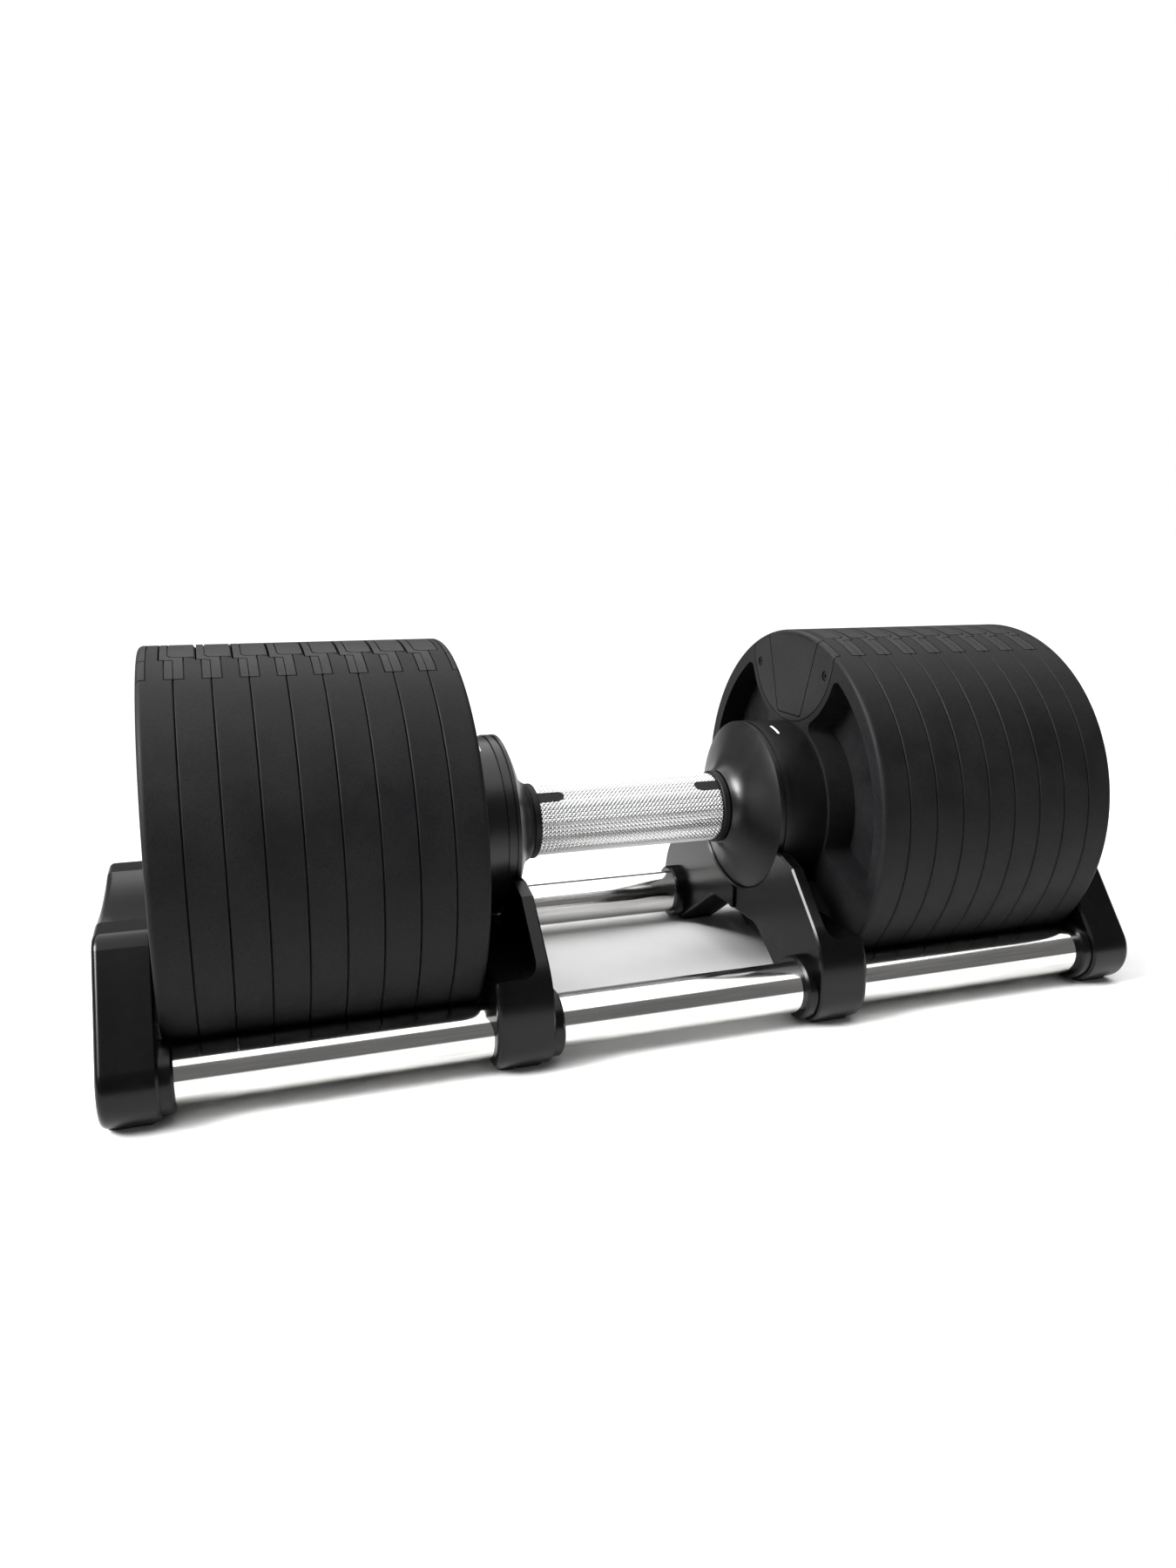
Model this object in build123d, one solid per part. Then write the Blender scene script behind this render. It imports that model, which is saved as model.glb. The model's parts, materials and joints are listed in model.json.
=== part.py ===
from build123d import *
from math import cos, radians, sin
import os

# Twist-handle adjustable dumbbell, docked in a cradle of two round rails and four brackets.
# Frame: X along the handle, Y across it (front is -Y), Z up, origin on the floor under the
# middle of the handle. Every piece is drawn about the handle axis and lifted by AXIS_HEIGHT
# when it is saved. The right half is drawn; the left half is its mirror image.

# --- Overall layout -------------------------------------------------------------------
AXIS_HEIGHT = 86.0        # handle axis above the floor

# --- Weight plates --------------------------------------------------------------------
PLATE_COUNT = 8           # removable plates on each side
PLATE_R = 87.5            # 175 mm diameter
PLATE_FLAT = 81.0         # flat under each plate, measured down from the axis
PLATE_T = 13.85
PLATE_PITCH = 14.15       # leaves 0.3 mm between neighbours
SEAM_CHAMFER = 0.4
END_ROUND = 2.4           # rounded rim at both ends of each stack
CARRIER_X = 89.3          # inner face of the fixed inner disc
BORE_SLEEVE = 10.4        # bore of plates 1 to 4, round the outer bar
BORE_INNER = 7.2          # bore of plates 5 to 8, round the inner bar
RELIEF = (21.0, 33.0, 0.8)  # shallow ring round each bore: radii and depth
END_CAP_R = 26.0          # cap over the bore of the last plate
END_CAP_T = 2.0

# --- Interlock: formed inserts let into the top of each plate --------------------------
SPADE_R = 38.0            # round insert, centred near the rim
SPADE_Z = 80.3
TRAP_TOP = (22.5, 82.0)   # half width of the tongue at a height near the rim
TRAP_FOOT = (11.5, 48.0)  # half width of the tongue near its foot
TRAP_BOTTOM = 45.7
TRAP_CORNER = 2.2
TONGUE_PROUD = 5.2        # how far the tongue stands out of the outer face
TONGUE_SHEET = 2.8
TONGUE_DRAFT = 5.0        # degrees
BLOCK_ROUND = 2.6
MALE_T = 3.6
FEMALE_T = 3.0
GROOVE_SPARE = 0.6
GROOVE_DEPTH = 5.5
INSERT_SCREW = (31.2, 68.5)
INSERT_HEAD = (2.4, 1.6)  # radius and depth of the screw head
INSERT_SHANK = (1.3, 5.0)
INSERT_SOCKET = (1.1, 0.6)  # hexagon radius and depth
INSERT_SUNK = 0.5         # head below the face, inside an open counterbore
INSERT_RING = 0.4         # gap round the head
SEAM_GAP = 0.5            # width and depth of the open seams round the inserts
SEAM_DEPTH = 1.0
COVER_GAP = 0.6           # seam round the blank of a flush cover
GROOVE_LEAD = 0.001       # opens the groove cleanly through the inner face

# --- Inner disc (carrier) ----------------------------------------------------------------
RING_INNER_R = 79.5
WEB_R = 43.5
SPOKE_R = 41.5            # round the insert centre
LOWER_SPOKE = (-22.0, -42.0)  # degrees, the solid arms between side and bottom openings
BOTTOM_RIM = 72.5
VOID_CORNER = 4.0
BUSH_R = 13.5

# --- Hub ------------------------------------------------------------------------------
HUB_R = 42.3              # lip and band at the front of the drum
DRUM_R = 41.6             # drum behind the band
HUB_NECK = (50.6, 18.4)   # x and radius where the bell meets the collar
BELL = ((54.0, 21.0), (58.0, 28.5), (62.0, 38.5))  # hollow curve from neck to lip
LIP_X = (63.9, 65.4)
LIP_CHANNEL = 0.8         # depth of the channel between lip and band
BAND_X = (67.0, 69.5)
BELL_WALL = 4.0           # measured along the handle
HUB_WALL = 3.0
HUB_BOSS_X = 63.0
HUB_BOSS = (31.5, 4.6)    # radius of the ring of bosses, boss radius
HUB_SCREW = (1.9, 3.6)    # shank and head radius
HUB_SCREW_SUNK = 0.4      # head below the outer face of the inner disc
HUB_SCREW_SEAT = 4.4      # shoulder under the head, below the outer face
HUB_SCREW_REACH = 14.0    # shank in front of the inner disc

# --- Handle ---------------------------------------------------------------------------
GRIP_R = 17.0
GRIP_HALF = 46.8
DRIVE_R = 14.4            # outside of the drive tube, inside of the grip
DRIVE_BORE = 12.6
COLLAR_R = 18.0
COLLAR_END = 50.4
KEY_ANGLE = 125.0         # degrees from +Y towards +Z
KEY_WIDTH = 5.4
KEY_LENGTH = 12.8
AXLE_R = 12.5
AXLE_BORE = 10.1
GUIDE_SLOT = (4.4, 3.0, 68.0)  # width, first x, last x

# --- Telescoping bars -----------------------------------------------------------------
BAR_START = 4.0
BAR_END = 102.0
SLEEVE_R = 9.9
SLEEVE_BORE = 6.9
INNER_BAR_R = 6.8
GUIDE_PIN_X = 8.0
GUIDE_PIN_R = 2.0
GUIDE_PIN_SHORT = 0.6     # pin stays below the outside of the axle tube

# --- Lock pin -------------------------------------------------------------------------
LOCK_X = 77.4
LOCK_R = 2.6
LOCK_BOTTOM = 43.6
LOCK_TOP = 24.0

# --- Cradle ---------------------------------------------------------------------------
RAIL_Y = 71.2
RAIL_Z = -69.6            # from the handle axis
RAIL_R = 11.7
RAIL_WALL = 2.0
RAIL_HALF = 234.0
FOOT_R = 16.4
FOOT_FLAT = 84.6
PAD = (20.0, 12.0)        # rubber foot, along and across the handle
INNER_X = (62.8, 87.3)    # inner bracket faces
WALL_T = 5.6              # upright cradle wall of the inner bracket
BEAM_TOP = -44.0
SADDLE_R = 42.9
ROOT_R = 6.0              # hollow curve behind the upright wall
HORN_TIP = (45.0, -14.2)
HORN_SHOULDER = (56.0, -17.4)
SIDE_Y = RAIL_Y + FOOT_R    # outside of the inner bracket, level with the feet
SIDE_CORNER_R = 35.0
ARCH_TOP = -56.0
ARCH_HALF = 24.0
ARCH_FOOT = 65.0           # half width of the opening at the feet
ARCH_R = 14.0
BOSS_R = 14.7
BOSS_LENGTH = 5.2
BOSS_SCOOP_R = 88.4       # bosses beside the plates are hollowed to clear their rims
RIB = (3.4, 1.2)
END_X = (217.4, 239.5)    # end bracket faces
END_TOP = -18.0
END_CORNER = (47.1, 10.0)
END_DIP = (34.0, 2.6)     # shallow dip in the top: half width and depth
END_SCREW_SUNK = 0.8      # screw heads below the outer face
END_SCREW = (2.5, 4.6)    # shank and head radius
END_SCREW_SEAT = 4.6      # shoulder under the head, below the outer face
END_SCREW_REACH = 14.0    # shank inside the end of the rail


# --- Small helpers --------------------------------------------------------------------
def slab(outline, x_from, x_to):
    """A Y-Z outline made solid between two x positions."""
    return extrude(Plane.YZ.offset(x_from) * outline, x_to - x_from)


def drafted(outline, x_from, height):
    """A Y-Z outline that narrows as it rises along +X."""
    return extrude(Plane.YZ.offset(x_from) * outline, height, taper=TONGUE_DRAFT)


def rod(x_from, x_to, radius, y=0.0, z=0.0):
    """A round bar parallel to the handle."""
    length = x_to - x_from
    base = (Align.CENTER, Align.CENTER, Align.MIN)
    return Pos(x_from, y, z) * Rot(0, 90, 0) * Cylinder(radius, length, align=base)


def tube(x_from, x_to, outer, inner, y=0.0, z=0.0):
    return rod(x_from, x_to, outer, y, z) - rod(x_from, x_to, inner, y, z)


def turned(*points):
    """An (x, radius) outline revolved about the handle axis."""
    return revolve(Plane.XZ * make_face(Polyline(*points, close=True)), Axis.X)


def across(edges):
    """Edges that don't run along the handle."""
    return edges.filter_by(Axis.X, reverse=True)


def save(node, *solids):
    placed = [Pos(0, 0, AXIS_HEIGHT) * solid for solid in solids]
    shape = placed[0] if len(placed) == 1 else Compound(children=placed)
    export_step(shape, f"parts/{node}.step")


def save_pair(node, *solids):
    """Save the right-hand pieces, then their mirror image for the left."""
    save(f"right_{node}", *solids)
    save(f"left_{node}", *[mirror(solid, about=Plane.YZ) for solid in solids])


# --- Plate outlines -------------------------------------------------------------------
def disc_outline():
    height = PLATE_R + PLATE_FLAT
    window = Pos(0, (PLATE_R - PLATE_FLAT) / 2) * Rectangle(3 * PLATE_R, height)
    return Circle(PLATE_R) & window


def spade(radius=SPADE_R):
    return Pos(0, SPADE_Z) * Circle(radius) & disc_outline()


def trapezoid(grow=0.0):
    """Tongue outline, wider at the top so that it lifts out of its groove."""
    slope = (TRAP_TOP[0] - TRAP_FOOT[0]) / (TRAP_TOP[1] - TRAP_FOOT[1])
    high = PLATE_R + 8
    low = TRAP_BOTTOM - grow
    wide = TRAP_FOOT[0] + slope * (high - TRAP_FOOT[1]) + grow
    narrow = TRAP_FOOT[0] + slope * (low - TRAP_FOOT[1]) + grow
    shape = make_face(Polyline((-wide, high), (wide, high), (narrow, low), (-narrow, low), close=True))
    foot = shape.vertices().group_by(Axis.Y)[0]
    return fillet(foot, TRAP_CORNER)


def rim_cylinder(x_from, x_to):
    return rod(x_from, x_to, PLATE_R)


# --- Interlock pieces -----------------------------------------------------------------
def insert_screw(side, face_x, inward, sunk=0.0, ring=0.0):
    """Round-headed screw; inward is +1 or -1 along X, sunk and ring leave room round the head."""
    y, z = side * INSERT_SCREW[0], INSERT_SCREW[1]
    head_r, head_t = INSERT_HEAD
    shank_r, shank_l = INSERT_SHANK
    seat = face_x + inward * head_t
    head = rod(*sorted((face_x + inward * sunk, seat)), head_r - ring, y, z)
    return head + rod(*sorted((seat, seat + inward * shank_l)), shank_r, y, z)


def socket(side, face_x, inward):
    top = face_x + inward * INSERT_SUNK
    span = sorted((top, top + inward * INSERT_SOCKET[1]))
    return slab(Pos(side * INSERT_SCREW[0], INSERT_SCREW[1]) * RegularPolygon(INSERT_SOCKET[0], 6), *span)


def screws(face_x, inward):
    """The two fixing screws of one insert, as drilled shapes and as finished screws."""
    drilled = [insert_screw(side, face_x, inward) for side in (-1, 1)]
    finished = [insert_screw(side, face_x, inward, INSERT_SUNK, INSERT_RING) - socket(side, face_x, inward)
                for side in (-1, 1)]
    return drilled, finished


def rim_shell(x_from, x_to):
    """The outermost layer of the rim, as deep as an open seam."""
    return tube(x_from, x_to, PLATE_R + 1, PLATE_R - SEAM_DEPTH)


def insert_seams(inner, outer):
    """Open seams round the inserts of one disc, along its rim and on both its faces."""
    wide = spade(SPADE_R + SEAM_GAP)
    bands = slab(wide, inner - 1, inner + FEMALE_T + SEAM_GAP)
    bands += slab(wide, outer - MALE_T - SEAM_GAP, outer + 1)
    faces = slab(wide, inner - 1, inner + SEAM_DEPTH) + slab(wide, outer - SEAM_DEPTH, outer + 1)
    return (bands & rim_shell(inner - 1, outer + 1)) + faces


def tongue(face_x):
    """Formed insert on an outer face: a flush flange, and a cap that stands proud over a block."""
    flange = slab(spade(), face_x - MALE_T, face_x)
    cap = drafted(trapezoid(), face_x, TONGUE_PROUD)
    return (flange + cap - block(face_x)) & rim_cylinder(face_x - MALE_T, face_x + TONGUE_PROUD)


def block(face_x, gap=0.0):
    """Filler that goes right through the plate and backs the tongue."""
    start = face_x - PLATE_T + GROOVE_DEPTH + gap
    body = slab(trapezoid(-TONGUE_SHEET - gap), start, face_x + TONGUE_PROUD - TONGUE_SHEET - gap)
    body = fillet(across(body.edges().group_by(Axis.X)[-1]), BLOCK_ROUND)
    return body & rim_cylinder(start, face_x + TONGUE_PROUD)


def seamed_block(face_x):
    """The filler, smaller all round where it reaches the rim, which leaves an open seam."""
    shell = rim_shell(face_x - PLATE_T, face_x + TONGUE_PROUD)
    return (block(face_x) - shell) + (block(face_x, SEAM_GAP) & shell)


def groove(face_x):
    """The drafted opening on an inner face that takes the neighbour's tongue."""
    return drafted(trapezoid(GROOVE_SPARE), face_x, GROOVE_DEPTH)


def flush_cover(x_from, x_to):
    """Insert with no tongue: a flange with a loose blank let into it."""
    flange = slab(spade(), x_from, x_to) - slab(trapezoid(COVER_GAP), x_from - 1, x_to + 1)
    blank = slab(trapezoid() & disc_outline(), x_from, x_to)
    return flange, blank


# --- Plates ---------------------------------------------------------------------------
def disc(x_from, rounded=None):
    """Blank disc with fine edges; rounded is 0 or -1 for the inner or outer end of a stack."""
    body = slab(disc_outline(), x_from, x_from + PLATE_T)
    for end in (0, -1):
        rim = across(body.edges().group_by(Axis.X)[end])
        body = fillet(rim, END_ROUND) if end == rounded else chamfer(rim, SEAM_CHAMFER)
    return body


def relieved(body, x_from, bore):
    inner_r, outer_r, depth = RELIEF
    ring = tube(x_from - 1, x_from + depth, outer_r, inner_r)
    far = tube(x_from + PLATE_T - depth, x_from + PLATE_T + 1, outer_r, inner_r)
    return body - ring - far - rod(x_from - 1, x_from + PLATE_T + 1, bore)


def plate(number):
    """Plate body and its inserts: groove on the handle side, tongue or flush cover outside."""
    inner = CARRIER_X + number * PLATE_PITCH
    outer = inner + PLATE_T
    last = number == PLATE_COUNT
    bore = BORE_SLEEVE if number <= PLATE_COUNT // 2 else BORE_INNER
    body = relieved(disc(inner, -1 if last else None), inner, bore)
    opening = groove(inner - GROOVE_LEAD)
    body -= slab(spade(), inner - 1, inner + FEMALE_T) + opening
    body -= slab(spade(), outer - MALE_T, outer + 1)
    inner_drilled, inner_screws = screws(inner, 1)
    outer_drilled, outer_screws = screws(outer, -1)
    lining = slab(spade(), inner, inner + FEMALE_T) - opening
    pieces = [lining - inner_drilled] + inner_screws + outer_screws
    if last:
        flange, blank = flush_cover(outer - MALE_T, outer)
        body -= rod(outer - END_CAP_T, outer + 1, END_CAP_R)
        rim = disc(inner, -1)
        pieces += [(flange & rim) - outer_drilled, blank & rim, end_cap(outer)]
    else:
        body -= block(outer)
        pieces += [tongue(outer) - outer_drilled, seamed_block(outer)]
    return body - inner_drilled - outer_drilled - insert_seams(inner, outer), pieces


def end_cap(outer):
    cap = rod(outer - END_CAP_T, outer, END_CAP_R)
    cap = chamfer(cap.edges().group_by(Axis.X)[-1], 0.6)
    return cap - tube(outer - 0.5, outer + 1, 20.5, 19.5)


# --- Inner disc, fixed to the hub -------------------------------------------------------
def wedge(start, end):
    """Pie slice between two angles, measured from +Y towards +Z."""
    reach = 2 * PLATE_R
    steps = [start + (end - start) * i / 4 for i in range(5)]
    rim = [(reach * cos(radians(a)), reach * sin(radians(a))) for a in steps]
    return make_face(Polyline((0, 0), *rim, close=True))


def side_void():
    ring = (Circle(RING_INNER_R) - Circle(WEB_R)) & wedge(LOWER_SPOKE[0], 85)
    shape = ring - Pos(0, SPADE_Z) * Circle(SPOKE_R)
    return fillet(shape.vertices(), VOID_CORNER)


def bottom_void():
    ring = Circle(RING_INNER_R) - Circle(WEB_R)
    shape = ring & wedge(LOWER_SPOKE[1], -180 - LOWER_SPOKE[1])
    shape &= Pos(0, -BOTTOM_RIM / 2) * Rectangle(3 * PLATE_R, BOTTOM_RIM)
    return fillet(shape.vertices(), VOID_CORNER)


def carrier():
    inner, outer = CARRIER_X, CARRIER_X + PLATE_T
    body = disc(inner, 0)
    side = slab(side_void(), inner - 1, outer + 1)
    body -= [side, mirror(side, about=Plane.XZ), slab(bottom_void(), inner - 1, outer + 1)]
    body -= rod(inner - 1, outer + 1, BUSH_R)
    body -= slab(spade(), inner - 1, inner + FEMALE_T) + slab(spade(), outer - MALE_T, outer + 1)
    body -= block(outer)
    flange, blank = flush_cover(inner, inner + FEMALE_T)
    pieces = [rounded_rim(blank, inner), seamed_block(outer)]
    for piece, face_x, inward in ((rounded_rim(flange, inner), inner, 1), (tongue(outer), outer, -1)):
        drilled, fixings = screws(face_x, inward)
        body -= drilled
        pieces += [piece - drilled] + fixings
    return body - hub_screw_set(outer + 1) - insert_seams(inner, outer), pieces


def rounded_rim(piece, x_from):
    """Trim a flush insert to the rounded rim of the disc that it is let into."""
    return piece & disc(x_from, 0)


# --- Hub ------------------------------------------------------------------------------


def hub_screw_places():
    radius = HUB_BOSS[0]
    return [(radius * cos(radians(a)), radius * sin(radians(a))) for a in (35, 145, 215, 325)]


def hub_screw_set(head_end=CARRIER_X + PLATE_T - HUB_SCREW_SUNK):
    """Screws put in from the outer face of the inner disc, with heads that end at head_end."""
    seat = CARRIER_X + PLATE_T - HUB_SCREW_SEAT
    shank, head = HUB_SCREW
    return [rod(CARRIER_X - HUB_SCREW_REACH, seat, shank, y, z) + rod(seat, head_end, head, y, z)
            for y, z in hub_screw_places()]


def hub_profile():
    """Outline of the hub: hollow-curved bell, lip, channel, band, then the drum."""
    back = CARRIER_X
    neck_x, neck_r = HUB_NECK
    lip, band = LIP_X, BAND_X
    channel_r = HUB_R - LIP_CHANNEL
    inner_r = HUB_R - HUB_WALL
    shifted = [(x + BELL_WALL, r) for x, r in BELL]
    bell = Spline(HUB_NECK, *BELL, (lip[0], HUB_R))
    rest = Polyline((lip[0], HUB_R), (lip[1], HUB_R), (lip[1], channel_r), (band[0], channel_r),
                    (band[0], HUB_R), (band[1], HUB_R), (band[1], DRUM_R), (back, DRUM_R),
                    (back, inner_r), (lip[0] + BELL_WALL, inner_r), *reversed(shifted),
                    (shifted[0][0], AXLE_R), (neck_x, AXLE_R), HUB_NECK)
    return make_face(bell + rest)


def hub():
    """Bell from the neck to the drum, hollow, with bosses for its screws."""
    back = CARRIER_X
    body = revolve(Plane.XZ * hub_profile(), Axis.X)
    for y, z in hub_screw_places():
        body += rod(HUB_BOSS_X, back, HUB_BOSS[1], y, z)
    body -= Pos(LOCK_X, 0, -HUB_R) * Cylinder(LOCK_R + 0.1, 14)
    return body - hub_screw_set()


# --- Handle ---------------------------------------------------------------------------
def key_outline(width, length):
    """Round-nosed key on the end of the grip, seen from above, pointing towards the middle."""
    straight = length - width / 2
    x_middle = GRIP_HALF - straight / 2
    nose = Pos(GRIP_HALF - straight, 0) * Circle(width / 2)
    return Pos(x_middle, 0) * Rectangle(straight, width) + nose


def keyed(width, length, radius_from, radius_to):
    key = extrude(Plane.XY.offset(radius_from) * key_outline(width, length), radius_to - radius_from)
    return Rot(KEY_ANGLE - 90, 0, 0) * key


def grip():
    body = tube(-GRIP_HALF, GRIP_HALF, GRIP_R, DRIVE_R)
    body = chamfer(body.edges().filter_by(lambda e: abs(e.radius - GRIP_R) < 0.1
                                          if e.geom_type == GeomType.CIRCLE else False), 0.6)
    slot = keyed(KEY_WIDTH, KEY_LENGTH, DRIVE_R - 2, GRIP_R + 2)
    return body - slot - mirror(slot, about=Plane.YZ)


def collar():
    """Ring against the end of the grip, with a key that fills the grip's slot."""
    ring = tube(GRIP_HALF, COLLAR_END, COLLAR_R, DRIVE_BORE)
    ring = fillet(ring.edges().filter_by(lambda e: e.geom_type == GeomType.CIRCLE
                                         and abs(e.radius - COLLAR_R) < 0.1), 0.9)
    key = keyed(KEY_WIDTH, KEY_LENGTH, DRIVE_R, GRIP_R - 0.7) & tube(0, GRIP_HALF, GRIP_R, DRIVE_R)
    return ring + key


def axle():
    """Fixed core tube that joins the two halves and guides both pairs of bars."""
    body = tube(-CARRIER_X, CARRIER_X, AXLE_R, AXLE_BORE)
    width, first, last = GUIDE_SLOT
    slot = Pos((first + last) / 2, 0, AXLE_R) * Box(last - first, width, 8)
    return body - slot - Rot(0, 180, 0) * slot


def outer_bar():
    """Hollow bar of the first stage, with the pin that rides in the guide slot."""
    body = tube(BAR_START, BAR_END, SLEEVE_R, SLEEVE_BORE)
    bottom, top = SLEEVE_R - 0.4, AXLE_R - GUIDE_PIN_SHORT
    pin = Pos(GUIDE_PIN_X, 0, (bottom + top) / 2) * Cylinder(GUIDE_PIN_R, top - bottom)
    return body + pin


def inner_bar():
    body = rod(BAR_START, BAR_END, INNER_BAR_R)
    return chamfer(body.edges(), 1.0)


def lock_pin():
    """Spring pin that the cradle pushes up while the dumbbell is docked."""
    middle = (LOCK_BOTTOM + LOCK_TOP) / 2
    body = Pos(LOCK_X, 0, -middle) * Cylinder(LOCK_R, LOCK_BOTTOM - LOCK_TOP)
    body = fillet(body.edges().group_by(Axis.Z)[0], 1.2)
    return body + Pos(LOCK_X, 0, -LOCK_TOP - 4) * Cylinder(LOCK_R + 1.6, 2.0)


# --- Cradle ---------------------------------------------------------------------------
def arch():
    """Opening under a bracket, between its feet."""
    low = 2 * -FOOT_FLAT - ARCH_TOP
    wide = 2 * ARCH_FOOT - ARCH_HALF
    shape = make_face(Polyline((-wide, low), (-ARCH_HALF, ARCH_TOP), (ARCH_HALF, ARCH_TOP), (wide, low),
                               close=True))
    return fillet(shape.vertices().group_by(Axis.Y)[-1], ARCH_R)


def feet_circles(radius):
    return Pos(-RAIL_Y, RAIL_Z) * Circle(radius) + Pos(RAIL_Y, RAIL_Z) * Circle(radius)


def floor_trim(outline):
    """Cut the feet flat where the rubber pads go."""
    height = FOOT_FLAT
    return outline & Pos(0, -height / 2 + 5) * Rectangle(400, height + 10)


def bracket_side(top_points):
    """Half outline that falls from top_points to the outside of the foot."""
    corner_y = SIDE_Y
    corner_z = HORN_SHOULDER[1] - (SIDE_Y - HORN_SHOULDER[0])
    points = [*top_points, (corner_y, corner_z), (corner_y, RAIL_Z), (RAIL_Y, -FOOT_FLAT), (0, -FOOT_FLAT)]
    shape = make_face(Polyline(*points, close=True))
    corner = shape.vertices().sort_by_distance(Vector(corner_y, corner_z))[0]
    return fillet(corner, SIDE_CORNER_R)


def mirrored(half):
    return half + mirror(half, about=Plane.YZ)


def wall_root():
    """Hollow curve where the upright wall meets the top of the beam."""
    x, z, r = INNER_X[0] + WALL_T, BEAM_TOP, ROOT_R
    overlap = 0.5
    corner = Pos(x + (r - overlap) / 2, z + (r - overlap) / 2) * Rectangle(r + overlap, r + overlap)
    return extrude(Plane.XZ * (corner - Pos(x + r, z + r) * Circle(r)), 120, both=True)


def add_rail_seats(body, x_from, bore_to):
    """Collars on the handle side of a bracket, and the bores for both rails."""
    for side in (-1, 1):
        boss = rod(x_from - BOSS_LENGTH, x_from + 1, BOSS_R, side * RAIL_Y, RAIL_Z)
        boss = chamfer(boss.edges().group_by(Axis.X)[0], 1.0)
        body += boss - rod(CARRIER_X, x_from, BOSS_SCOOP_R) if x_from > CARRIER_X else boss
    for side in (-1, 1):
        body -= rod(x_from - 20, bore_to, RAIL_R, side * RAIL_Y, RAIL_Z)
    return body


def inner_bracket():
    """Thin upright cradle wall with a saddle, on a deep beam with two round feet."""
    x_from, x_to = INNER_X
    half = bracket_side([(0, HORN_TIP[1]), HORN_TIP, HORN_SHOULDER])
    full = floor_trim(mirrored(half) + feet_circles(FOOT_R) - arch())
    low = full & Pos(0, BEAM_TOP - 60) * Rectangle(400, 120)
    beam = slab(low, x_from, x_to)
    beam = fillet(across(beam.edges().group_by(Axis.X)[-1]), 3.0)
    wall = slab(full, x_from, x_from + WALL_T) - rod(x_from - 1, x_to + 1, SADDLE_R)
    wall = chamfer(across(wall.edges().group_by(Axis.X)[0]), 0.8)
    root = wall_root() & slab(full, x_from + 1, x_to - 3)
    body = wall + (beam & slab(low, x_from + 2, x_to + 1)) + root
    body -= rod(x_from - 1, x_to + 1, SADDLE_R)
    rib_z = (SADDLE_R - ARCH_TOP) / 2
    rib = Box(RIB[1] + 0.5, RIB[0], -ARCH_TOP - SADDLE_R - 1.8)
    body += Pos(x_from - RIB[1] / 2 + 0.25, 0, -rib_z) * rib
    return add_rail_seats(body, x_from, x_to + 1)


def end_bracket():
    """Solid end cheek: flat-topped, sloping to two round feet that close off the rails."""
    x_from, x_to = END_X
    corner_y, corner_r = END_CORNER
    rounds = [Pos(side * corner_y, END_TOP - corner_r) * Circle(corner_r) for side in (-1, 1)]
    rounds += [Pos(side * RAIL_Y, RAIL_Z) * Circle(FOOT_R) for side in (-1, 1)]
    edges = [edge for circle in rounds for edge in circle.edges()]
    full = make_hull(edges) - arch()
    half_width, depth = END_DIP
    dip = make_face(Polyline((-half_width, END_TOP), (half_width, END_TOP)) + ThreePointArc(
        (-half_width, END_TOP), (0, END_TOP - depth), (half_width, END_TOP)))
    full = floor_trim(full - dip)
    body = slab(full, x_from, x_to)
    body = fillet(across(body.edges().group_by(Axis.X)[-1]), 3.0)
    body = chamfer(across(body.edges().group_by(Axis.X)[0]), 1.1)
    body = add_rail_seats(body, x_from, RAIL_HALF)
    outside = x_to + 1
    return body - [end_screw(-1, outside), end_screw(1, outside)]


def end_screw(side, head_end=END_X[1] - END_SCREW_SUNK):
    """Socket screw through the end bracket into the plug in the rail; its head ends at head_end."""
    y, z = side * RAIL_Y, RAIL_Z
    seat = END_X[1] - END_SCREW_SEAT
    shank, head = END_SCREW
    return rod(RAIL_HALF - END_SCREW_REACH, seat, shank, y, z) + rod(seat, head_end, head, y, z)


def rail_fixings():
    """Plugs pressed into the rail ends, and the screws that hold the end brackets."""
    solids = []
    outer = END_X[1]
    for side in (-1, 1):
        y, z = side * RAIL_Y, RAIL_Z
        screw = end_screw(side)
        key = slab(Pos(y, z) * RegularPolygon(2.3, 6), outer - 2.8, outer + 1)
        plug = rod(RAIL_HALF - 18, RAIL_HALF, RAIL_R - RAIL_WALL, y, z)
        solids += [screw - key, plug - screw]
    return solids


def rubber_feet():
    """One pad under each foot of each bracket."""
    thickness = AXIS_HEIGHT - FOOT_FLAT
    pads = []
    for x_from, x_to in (INNER_X, END_X):
        for side in (-1, 1):
            pad = Pos((x_from + x_to) / 2, side * RAIL_Y, -FOOT_FLAT - thickness / 2) * Box(
                min(PAD[0], x_to - x_from - 4), PAD[1], thickness)
            pads.append(fillet(pad.edges().filter_by(Axis.Z), 3.0))
    return pads + [mirror(pad, about=Plane.YZ) for pad in pads]


def hub_screws_finished():
    outer = CARRIER_X + PLATE_T
    return [screw - slab(Pos(y, z) * RegularPolygon(1.9, 6), outer - 2.6, outer + 1)
            for screw, (y, z) in zip(hub_screw_set(), hub_screw_places())]


# --- Write every node -----------------------------------------------------------------
os.makedirs("parts", exist_ok=True)

for name, side in (("front", -1), ("rear", 1)):
    save(f"{name}_rail", tube(-RAIL_HALF, RAIL_HALF, RAIL_R, RAIL_R - RAIL_WALL, side * RAIL_Y, RAIL_Z))
save_pair("end_bracket", end_bracket())
save_pair("inner_bracket", inner_bracket())
fixings = rail_fixings()
save("rail_fixings", *fixings, *[mirror(piece, about=Plane.YZ) for piece in fixings])
save("rubber_feet", *rubber_feet())

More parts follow.
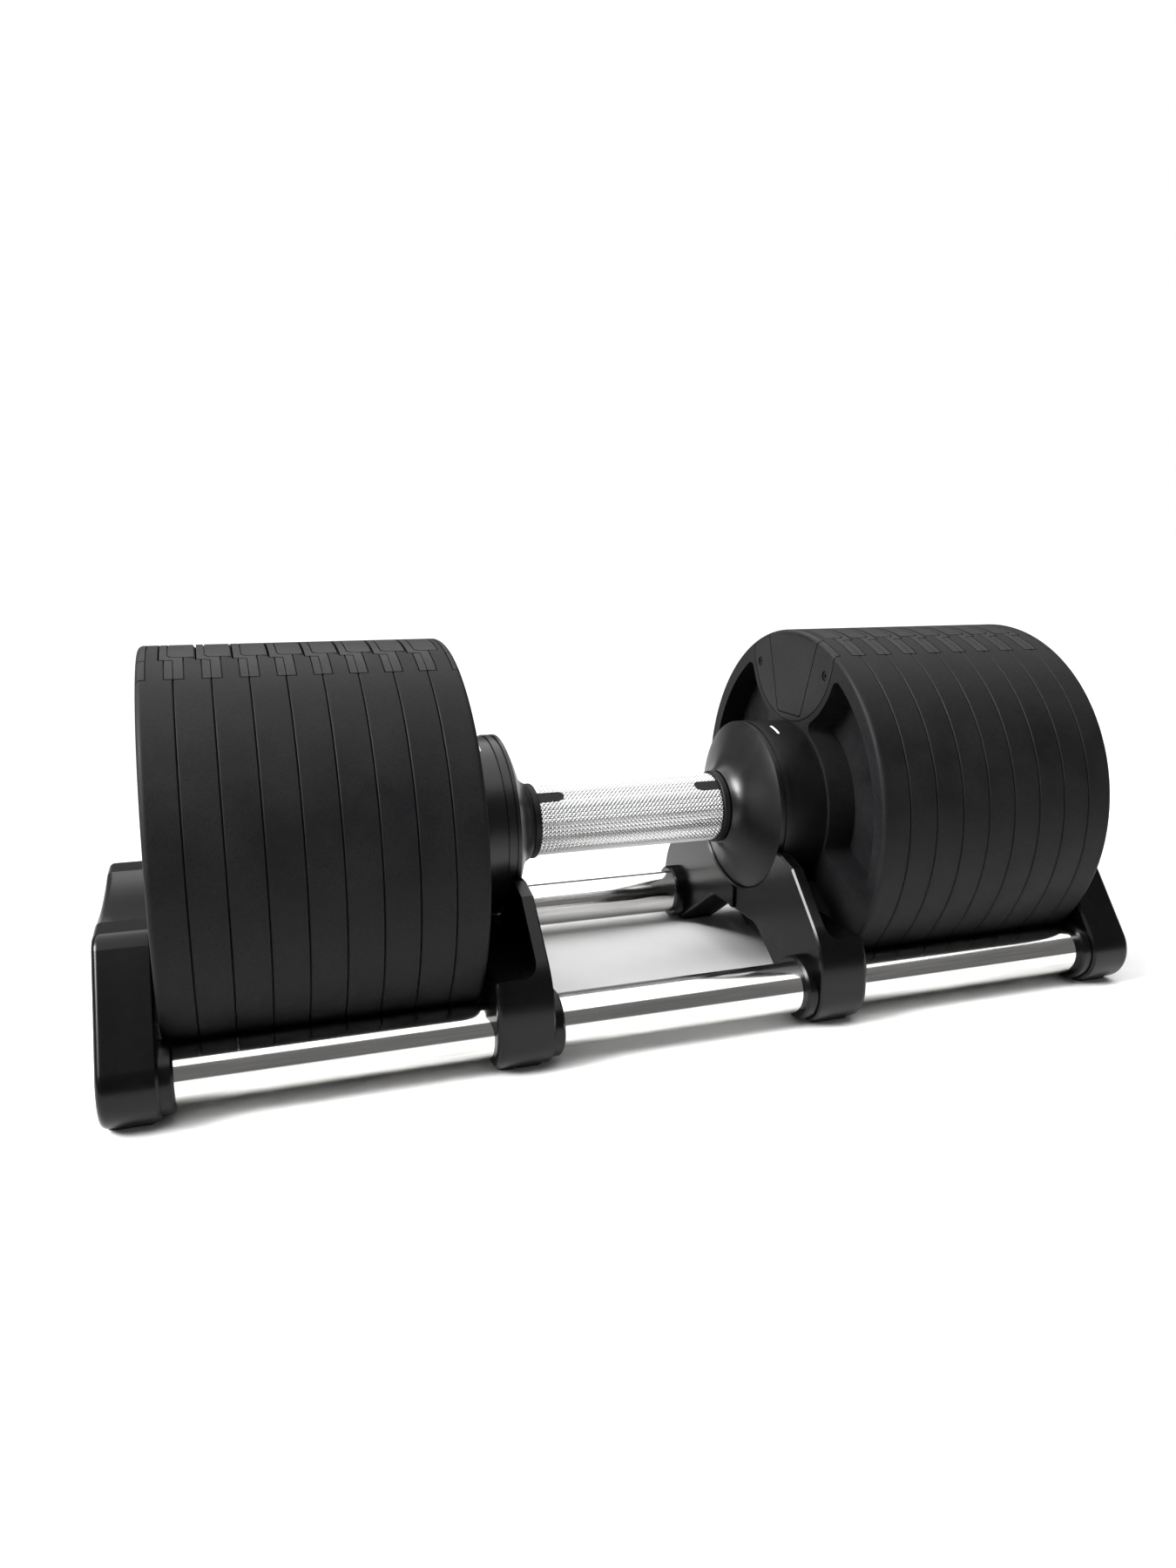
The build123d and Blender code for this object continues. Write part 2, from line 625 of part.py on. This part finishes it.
carrier_body, carrier_pieces = carrier()
save_pair("carrier", carrier_body)
save_pair("carrier_interlock", *carrier_pieces)
save_pair("hub", hub())
hub_fixings = hub_screws_finished()
save("hub_screws", *hub_fixings, *[mirror(piece, about=Plane.YZ) for piece in hub_fixings])
save("axle_tube", axle())
bush = tube(CARRIER_X, CARRIER_X + PLATE_T, BUSH_R, SLEEVE_R + 0.1)
save("guide_bushes", bush, mirror(bush, about=Plane.YZ))

save("grip_tube", grip())
save("drive_tube", tube(-GRIP_HALF, GRIP_HALF, DRIVE_R, DRIVE_BORE))
save_pair("collar", collar())
save("right_outer_bar", outer_bar())
save("left_outer_bar", Rot(0, 180, 0) * outer_bar())
save_pair("inner_bar", inner_bar())
save_pair("lock_pin", lock_pin())

for number in range(1, PLATE_COUNT + 1):
    plate_body, plate_pieces = plate(number)
    save_pair(f"plate_{number}", plate_body)
    save_pair(f"interlock_{number}", *plate_pieces)
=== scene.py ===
# %% [markdown]
# # A twist-handle dumbbell in its cradle
# Eight iron plates hang on each side of a knurled grip, and the whole weight rests in a cradle of
# two chrome rails and four moulded brackets. The measured parts come in as a fixed frame. This
# lesson gives each of them a finish, cuts the real knurl into the grip, and sets up a small studio.

import json
import math

import bmesh
import bpy
import numpy as np
from mathutils import Matrix, Vector


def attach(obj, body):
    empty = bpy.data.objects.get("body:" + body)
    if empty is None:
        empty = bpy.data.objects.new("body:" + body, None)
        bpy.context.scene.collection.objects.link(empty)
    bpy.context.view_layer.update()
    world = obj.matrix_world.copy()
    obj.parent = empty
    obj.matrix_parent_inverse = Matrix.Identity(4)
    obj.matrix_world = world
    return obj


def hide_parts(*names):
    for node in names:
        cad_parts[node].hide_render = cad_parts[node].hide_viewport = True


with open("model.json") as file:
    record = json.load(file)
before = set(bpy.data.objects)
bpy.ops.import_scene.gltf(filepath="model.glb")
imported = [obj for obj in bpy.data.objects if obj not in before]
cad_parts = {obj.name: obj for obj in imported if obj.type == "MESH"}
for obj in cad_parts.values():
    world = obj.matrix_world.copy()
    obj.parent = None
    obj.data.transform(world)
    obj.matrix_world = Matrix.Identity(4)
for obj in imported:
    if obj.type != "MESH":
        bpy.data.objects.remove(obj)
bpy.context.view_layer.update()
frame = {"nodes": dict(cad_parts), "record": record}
MM = 0.001
AXIS_HEIGHT = 86.0 * MM

# %% [markdown]
# ## The camera
# A short lens held close, a little above the handle and left of its middle. Being close is what
# makes the left stack look larger than the right one. The view is built from its heading, its
# downward tilt and a trace of roll, so each can be changed on its own.

# %% Set up the camera
CAMERA_PLACE = Vector((-191.2, -475.7, 221.9)) * MM
HEADING, TILT, ROLL = (math.radians(a) for a in (18.495, 13.739, 0.372))
LENS_MM = 24.703
SENSOR_MM = 36.0
SHIFT = (0.01718, 0.00487)

flat = Vector((math.sin(HEADING), math.cos(HEADING), 0.0))
forward = flat * math.cos(TILT) - Vector((0.0, 0.0, math.sin(TILT)))
level = Vector((math.cos(HEADING), -math.sin(HEADING), 0.0))
upright = level.cross(forward)
right = level * math.cos(ROLL) + upright * math.sin(ROLL)
up = upright * math.cos(ROLL) - level * math.sin(ROLL)
camera = bpy.data.objects.new("camera", bpy.data.cameras.new("camera"))
bpy.context.scene.collection.objects.link(camera)
camera.matrix_world = Matrix.Translation(CAMERA_PLACE) @ Matrix((right, up, -forward)).transposed().to_4x4()
camera.data.lens = LENS_MM
camera.data.sensor_width = SENSOR_MM
camera.data.shift_x, camera.data.shift_y = SHIFT
camera.data.clip_start = 0.01
bpy.context.scene.camera = camera
print("camera looks along", [round(v, 3) for v in forward])

# %% [markdown]
# ## Colours and nodes
# Paint charts and screens name colours as sRGB hex values, while light is worked out in linear
# numbers, so one function turns one into the other. A second function adds any node, with its
# settings and links, so that each finish below reads as a short list of what it is made of.

# %% Helpers for colours and nodes
def linear(hex_colour):
    """sRGB hex to linear RGBA: low values are divided by 12.92, the rest follow a 2.4 power curve."""
    srgb = [int(hex_colour[i:i + 2], 16) / 255 for i in (1, 3, 5)]
    return tuple(c / 12.92 if c <= 0.04045 else ((c + 0.055) / 1.055) ** 2.4 for c in srgb) + (1.0,)


def add(tree, kind, inputs=None, **settings):
    """Adds one node; inputs maps a socket to a number, a colour or another node's output."""
    made = tree.nodes.new(kind)
    for name, value in settings.items():
        setattr(made, name, value)
    for socket, value in (inputs or {}).items():
        if isinstance(value, bpy.types.NodeSocket):
            tree.links.new(value, made.inputs[socket])
        else:
            made.inputs[socket].default_value = value
    return made


def per_metre(size_mm):
    """Pattern scale for a feature of that many millimetres."""
    return 1.0 / (size_mm * MM)


print("mid grey #808080 in linear:", round(linear("#808080")[0], 3))

# %% [markdown]
# ## The recipe behind every finish
# A real coat, moulding or plating is never one even colour. Each finish here is the same short
# recipe with its own sizes: a patch pattern that drifts the colour and the polish over tens of
# millimetres, and a fine grain that stands up by hundredths of a millimetre. Stretching the
# pattern along the handle gives the marks of polishing or grinding.

# %% Build a finish from its sizes
SHADE_SPAN = (0.12, 0.40)    # the product of both patterns mostly falls between these


def finish(name, dark, light, roughness, patch_mm, grain_mm, grain_height_mm, metallic=0.0,
           stretch=(1.0, 1.0, 1.0), specular=0.5, grain_detail=2.0):
    material = bpy.data.materials.new(name)
    material.use_nodes = True
    tree = material.node_tree
    tree.nodes.clear()
    place = add(tree, "ShaderNodeTexCoord").outputs["Object"]
    place = add(tree, "ShaderNodeMapping", {"Vector": place, "Scale": stretch}).outputs["Vector"]
    patches = add(tree, "ShaderNodeTexNoise", {"Vector": place, "Scale": per_metre(patch_mm), "Detail": 3.0})
    grain = add(tree, "ShaderNodeTexNoise", {"Vector": place, "Scale": per_metre(grain_mm),
                                             "Detail": grain_detail})
    shade = add(tree, "ShaderNodeMath", {0: patches.outputs["Fac"], 1: grain.outputs["Fac"]},
                operation="MULTIPLY")
    ramp = add(tree, "ShaderNodeValToRGB", {"Fac": shade.outputs["Value"]})
    ramp.color_ramp.elements[0].position = SHADE_SPAN[0]
    ramp.color_ramp.elements[0].color = linear(dark)
    ramp.color_ramp.elements[1].position = SHADE_SPAN[1]
    ramp.color_ramp.elements[1].color = linear(light)
    polish = add(tree, "ShaderNodeMapRange", {"Value": patches.outputs["Fac"], "From Min": 0.3,
                                              "From Max": 0.7, "To Min": roughness[0],
                                              "To Max": roughness[1]})
    relief = add(tree, "ShaderNodeBump", {"Height": grain.outputs["Fac"], "Strength": 1.0,
                                          "Distance": grain_height_mm * MM})
    shader = add(tree, "ShaderNodeBsdfPrincipled", {
        "Base Color": ramp.outputs["Color"], "Roughness": polish.outputs["Result"],
        "Normal": relief.outputs["Normal"], "Metallic": metallic})
    if not metallic:
        shader.inputs["Specular IOR Level"].default_value = specular
    add(tree, "ShaderNodeOutputMaterial", {"Surface": shader.outputs["BSDF"]})
    return material


print("finish recipe ready")

# %% [markdown]
# ## The finishes
# Cast iron under a fine-textured powder coat looks charcoal rather than black, because its grain
# scatters light. Powder grain is near 0.3 mm; it is drawn at 0.7 mm so that it shows.
# The pressed steel inserts carry a thinner satin paint. The hub and brackets are moulded ABS from
# a smooth tool: deep black with broad, soft highlights. The collars come from a matt tool.

# %% Coats and plastics
powder_coated_iron = finish("powder_coated_cast_iron", "#08080a", "#161617", (0.50, 0.66), 22, 0.7,
                            0.080, specular=0.13, grain_detail=4.0)
painted_insert = finish("satin_painted_steel", "#0b0b0c", "#181819", (0.44, 0.56), 16, 0.9, 0.030,
                        specular=0.16)
moulded_bracket = finish("smooth_moulded_abs", "#020203", "#060607", (0.20, 0.28), 45, 3.5, 0.010,
                         specular=0.20)
moulded_hub = finish("fine_moulded_abs", "#040405", "#0b0b0c", (0.30, 0.40), 30, 2.2, 0.008,
                     specular=0.38)
matt_collar = finish("matt_moulded_nylon", "#040405", "#0b0b0c", (0.48, 0.58), 15, 0.5, 0.015,
                     specular=0.22)
black_rubber = finish("moulded_rubber", "#141414", "#202020", (0.78, 0.88), 9, 0.4, 0.030)
print("coats and plastics made")

# %% [markdown]
# ## The metals
# Chrome plate shows what stands round it, so its own pattern is faint: polishing marks that run
# along the rail. The bars are ground, which leaves marks round them. Screws are black oxide, and
# the bushes are turned brass. Metals keep the default IOR, since their colour says it all.

# %% Metals
ALONG = (0.04, 1.0, 1.0)
AROUND = (1.0, 0.08, 0.08)
chrome_rail = finish("polished_chrome_plate", "#c9c8c6", "#e4e3e1", (0.07, 0.15), 8, 1.2, 0.0015, 1.0,
                     ALONG)
chrome_grip = finish("knurled_chrome_plate", "#e2e2e2", "#f0f0f0", (0.20, 0.24), 12, 0.8, 0.002, 1.0)
ground_steel = finish("ground_steel", "#8f8f90", "#b4b4b5", (0.26, 0.36), 10, 0.5, 0.006, 1.0, AROUND)
black_oxide = finish("black_oxide_steel", "#232324", "#363637", (0.34, 0.46), 5, 0.5, 0.006, 1.0)
turned_brass = finish("turned_brass", "#a8824a", "#c9a566", (0.24, 0.34), 6, 0.4, 0.006, 1.0, AROUND)
print("metals made")

# %% [markdown]
# ## Painted shade in the valleys of the knurl
# The valleys between the pyramids get painted shade: their base colour is made dark grey where real
# shade would fall, and it brightens towards the crests. The grip carries its own knurl height at each
# point, 0 in a valley and 1 on a crest, so the chrome goes from grey in the valleys to bright on the
# crests and follows the real relief. This takes the place of the even colour that the recipe gave it.

# %% Paint shade into the valleys
# the valley colour is painted shade; the crest colour is the bright chrome
PAINTED_VALLEY_SHADE, CREST = "#2a2a2b", "#f8f8f8"
grip_tree = chrome_grip.node_tree
height = add(grip_tree, "ShaderNodeAttribute", attribute_name="knurl_height").outputs["Fac"]
# painted shade: base colour dark grey in the knurl valleys, bright on the crests
painted_shade_ramp = add(grip_tree, "ShaderNodeValToRGB", {"Fac": height})
for stop, place, tone in ((0, 0.04, PAINTED_VALLEY_SHADE), (1, 0.42, CREST)):
    painted_shade_ramp.color_ramp.elements[stop].position = place
    painted_shade_ramp.color_ramp.elements[stop].color = linear(tone)
grip_shader = next(n for n in grip_tree.nodes if n.type == "BSDF_PRINCIPLED")
grip_tree.links.new(painted_shade_ramp.outputs["Color"], grip_shader.inputs["Base Color"])
print("knurl valleys", PAINTED_VALLEY_SHADE, "crests", CREST)

# %% [markdown]
# ## Finishes on the measured parts
# The record says which finish family each part belongs to, so the parts are painted by family and
# none can be missed.

# %% Put the finishes on
FINISH_OF = {
    "plate_iron": powder_coated_iron, "insert_paint": painted_insert, "bracket_plastic": moulded_bracket,
    "hub_plastic": moulded_hub, "collar_plastic": matt_collar, "rail_chrome": chrome_rail,
    "grip_chrome": chrome_grip, "bar_steel": ground_steel, "fixing_steel": black_oxide,
    "bush_brass": turned_brass, "rubber": black_rubber}
for part in frame["record"]["subparts"]:
    mesh = frame["nodes"][part["node"]].data
    mesh.materials.clear()
    mesh.materials.append(FINISH_OF[part["material_slot"]])

# %% [markdown]
# ## Making a surface
# A new piece is a grid of points worked out all at once. Columns run round the piece and always
# close. Rows run along its profile: they close on themselves, or end in a pole whose points are
# merged. Neither way leaves an open seam, and the printed volume shows that faces look out.

# %% Turn a grid of points into a piece
POLE_MERGE = 1e-7    # metres between points that count as one


def grid_piece(name, points, close_rows, body, material):
    """Quads between neighbouring points of a (rows, columns, 3) grid; columns always close.

    Rows that don't close start and end in a pole, whose points are merged into one.
    """
    rows, columns = points.shape[:2]
    row = np.arange(rows if close_rows else rows - 1)[:, None]
    column = np.arange(columns)[None, :]
    next_row, next_column = (row + 1) % rows, (column + 1) % columns
    corners = [row * columns + column, next_row * columns + column,
               next_row * columns + next_column, row * columns + next_column]
    quads = np.stack(np.broadcast_arrays(*corners), axis=-1).reshape(-1, 4)
    mesh = bpy.data.meshes.new(name)
    mesh.from_pydata(points.reshape(-1, 3).tolist(), [], quads.tolist())
    mesh.materials.append(material)
    if not close_rows:
        shell = bmesh.new()
        shell.from_mesh(mesh)
        bmesh.ops.remove_doubles(shell, verts=shell.verts, dist=POLE_MERGE)
        shell.to_mesh(mesh)
        shell.free()
    mesh.validate()
    piece = bpy.data.objects.new(name, mesh)
    bpy.context.scene.collection.objects.link(piece)
    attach(piece, body)
    print(name, len(quads), "quads, volume sign", "out" if volume(points, quads) > 0 else "IN")
    return piece


def volume(points, quads):
    """Signed volume: the sum over triangles of a dot (b cross c) / 6, positive if faces look out."""
    corner = points.reshape(-1, 3)[quads]
    total = 0.0
    for b, c in ((1, 2), (2, 3)):
        total += np.einsum("ij,ij->i", corner[:, 0], np.cross(corner[:, b], corner[:, c])).sum()
    return total / 6


# %% [markdown]
# ## The knurled grip
# A knurl is rolled in by two wheels that press crossing spirals into the steel, which leaves small
# pyramids. Here it is real relief, not a painted pattern: the radius at each point is the lower of
# two crossing triangle waves. The grid has several points to each pyramid, so they stay sharp.
# The same function drops the radius inside the two slots that the collar keys fill.

# %% Knurl sizes and the height of the knurl
GRIP_R = 17.0
GRIP_HALF = 46.8
INNER_R = 14.45
SLOT_WALL = 0.05                                   # what is left under the key slots
KNURL_ROUND = 52                                   # drawn a little coarser than the real 1.35 mm
KNURL_PITCH = 2 * math.pi * GRIP_R / KNURL_ROUND   # about 2.0 mm, so that it shows
KNURL_ALONG = round(2 * GRIP_HALF / KNURL_PITCH)
KNURL_DEPTH = 0.55                                 # deepened with the pitch
SAMPLES = 5                                        # grid points per pyramid
END_BEVEL = 0.5
KEY_ANGLE = math.radians(125.0)
KEY_WIDTH = 5.5
KEY_LENGTH = 12.85


def triangle_wave(turns):
    """1 at whole numbers, 0 half way between, straight in between."""
    return np.abs(2 * (turns - np.floor(turns)) - 1)


def in_slot(along, angle):
    """True inside the round-nosed key slots: a strip at each end, closed by a half circle."""
    across = GRIP_R * np.sin(angle - KEY_ANGLE)
    nose = GRIP_HALF - KEY_LENGTH + KEY_WIDTH / 2
    beyond = np.minimum(np.abs(along) - nose, 0.0)
    return (np.hypot(across, beyond) < KEY_WIDTH / 2) & (np.cos(angle - KEY_ANGLE) > 0)


def knurl_height(along, angle):
    """The lower of two triangle waves that climb round the grip in opposite directions."""
    spiral = angle * KNURL_ROUND / (2 * math.pi)
    straight = (along + GRIP_HALF) / (2 * GRIP_HALF) * KNURL_ALONG
    return np.minimum(triangle_wave(straight + spiral), triangle_wave(straight - spiral))


def grip_radius(along, angle):
    """Outer radius less the knurl depth where the crossing waves are low, bevelled at both ends."""
    radius = GRIP_R - KNURL_DEPTH * (1 - knurl_height(along, angle))
    bevel = np.maximum(np.abs(along) - (GRIP_HALF - END_BEVEL), 0.0)
    return np.where(in_slot(along, angle), INNER_R + SLOT_WALL, radius - bevel)


print("knurl pitch in mm:", round(KNURL_PITCH, 3), "pyramids:", KNURL_ROUND * KNURL_ALONG)

# %% Roll the grip
outer_rows = np.linspace(-GRIP_HALF, GRIP_HALF, SAMPLES * KNURL_ALONG + 1)
round_steps = np.arange(SAMPLES * KNURL_ROUND) * 2 * math.pi / (SAMPLES * KNURL_ROUND)
along, angle = np.meshgrid(outer_rows, round_steps, indexing="ij")
radius = grip_radius(along, angle)
bore_along = np.array([[GRIP_HALF], [-GRIP_HALF]]) * np.ones_like(round_steps)
along = np.vstack([along, bore_along])
radius = np.vstack([radius, np.full_like(bore_along, INNER_R)])
angle = np.vstack([angle, angle[:2]])
grip_points = np.stack([along, radius * np.cos(angle), radius * np.sin(angle)], axis=-1) * MM
grip_points[..., 2] += AXIS_HEIGHT
grip = grid_piece("knurled_grip", grip_points[:, ::-1], True, "grip", chrome_grip)
heights = np.where(in_slot(along, angle), 0.0, knurl_height(along, angle))[:, ::-1]
grip.data.attributes.new("knurl_height", "FLOAT", "POINT").data.foreach_set(
    "value", heights.astype(np.float32).ravel())
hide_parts("grip_tube")

# %% [markdown]
# ## The index ticks
# Each hub carries one short white mark, printed on the drum in line with the front of the weight.
# It is a thin pad of paint with rounded ends, so it is modelled as a low rounded strip that lies
# on the drum and follows its curve.

# %% White marks on the hubs
white_print = finish("white_pad_print", "#dadada", "#f4f4f4", (0.42, 0.55), 4, 0.4, 0.004)
DRUM_R = 41.6
TICK_X = 75.6
TICK_ANGLES = (math.radians(99.5), math.radians(112.0))
TICK_HALF_WIDTH = 0.65
TICK_THICK = 0.12
TICK_SECTIONS = 25
TICK_SIDES = 16
TICK_END_POWER = 8      # high, so that the strip stays wide and rounds off late


def tick_points(side):
    """An ellipse-like section swept along an arc of the drum, narrowing to a pole at each end."""
    run = np.linspace(0.0, 1.0, TICK_SECTIONS)[:, None]
    turn = np.linspace(0.0, 2 * math.pi, TICK_SIDES, endpoint=False)[None, :]
    width = TICK_HALF_WIDTH * np.sqrt(np.maximum(1 - (2 * run - 1) ** TICK_END_POWER, 1e-4))
    sweep = TICK_ANGLES[0] + (TICK_ANGLES[1] - TICK_ANGLES[0]) * run + 0 * turn
    x = side * (TICK_X + width * np.cos(turn))
    r = DRUM_R + TICK_THICK * np.sin(turn) * np.minimum(width / TICK_HALF_WIDTH, 1.0)
    points = np.stack([x, r * np.cos(sweep), r * np.sin(sweep)], axis=-1) * MM
    points[..., 2] += AXIS_HEIGHT
    ends = points.mean(axis=1, keepdims=True)
    points = np.concatenate([ends[:1] + 0 * points[:1], points, ends[-1:] + 0 * points[:1]])
    return points[:, ::-1] if side > 0 else points


for side, label in ((1, "right"), (-1, "left")):
    grid_piece(label + "_index_tick", tick_points(side), False, "handle_frame", white_print)

# %% [markdown]
# ## The studio
# A product table is lit by one very wide soft light overhead, so the floor is evenly bright out to
# the horizon and shadows are only soft pools. The rest of the room is dim. Black parts then keep
# their depth, since they have little to mirror, while chrome gets a bright band from above, a
# second from the floor and a dark line between them. The backdrop itself is seen as plain white.

# %% Floor
FLOOR_HALF = 40.0


def studio_floor():
    """A flat square of pale card with its top at height zero, wide enough to reach the horizon."""
    half = FLOOR_HALF
    mesh = bpy.data.meshes.new("studio_floor")
    mesh.from_pydata([(-half, -half, 0), (half, -half, 0), (half, half, 0), (-half, half, 0)],
                     [], [(0, 1, 2, 3)])
    floor = bpy.data.objects.new("studio_floor", mesh)
    bpy.context.scene.collection.objects.link(floor)
    mesh.materials.append(finish("pale_studio_card", "#ebebeb", "#f2f2f2", (0.85, 0.95), 400, 30, 0.0,
                                 specular=0.0))


studio_floor()
print("floor reaches", FLOOR_HALF, "m each way")

# %% Lights
def hang(name, kind, place, target, energy):
    """A light at a place, aimed at a target."""
    lamp = bpy.data.lights.new(name, kind)
    lamp.energy = energy
    holder = bpy.data.objects.new(name, lamp)
    bpy.context.scene.collection.objects.link(holder)
    place, target = Vector(place), Vector(target)
    aim = (target - place).to_track_quat("-Z", "Y").to_matrix().to_4x4()
    holder.matrix_world = Matrix.Translation(place) @ aim
    print(name, "at", [round(v, 2) for v in place])
    return lamp


overhead = hang("overhead_dome", "SUN", (0.0, 0.5, 2.0), (0.0, 0.0, 0.0), 3.9)
overhead.angle = math.radians(95)
side_box = hang("left_softbox", "AREA", (-0.75, -0.10, 0.75), (0.12, 0.0, 0.12), 4.0)
side_box.shape = "RECTANGLE"
side_box.size, side_box.size_y = 0.5, 0.7
side_box.spread = math.radians(50)

ROOM_GLOW = 0.20
world = bpy.data.worlds.new("studio_room")
world.use_nodes = True
room = world.node_tree
room.nodes.clear()
seen = add(room, "ShaderNodeLightPath").outputs["Is Camera Ray"]
glow = add(room, "ShaderNodeMapRange", {"Value": seen, "To Min": ROOM_GLOW, "To Max": 1.0})
backdrop = add(room, "ShaderNodeBackground", {"Strength": glow.outputs["Result"]})
backdrop.inputs["Color"].default_value = (1.0, 1.0, 1.0, 1.0)
add(room, "ShaderNodeOutputWorld", {"Surface": backdrop.outputs["Background"]})
bpy.context.scene.world = world
bpy.context.scene.view_settings.view_transform = "Standard"
print("room glow", ROOM_GLOW)
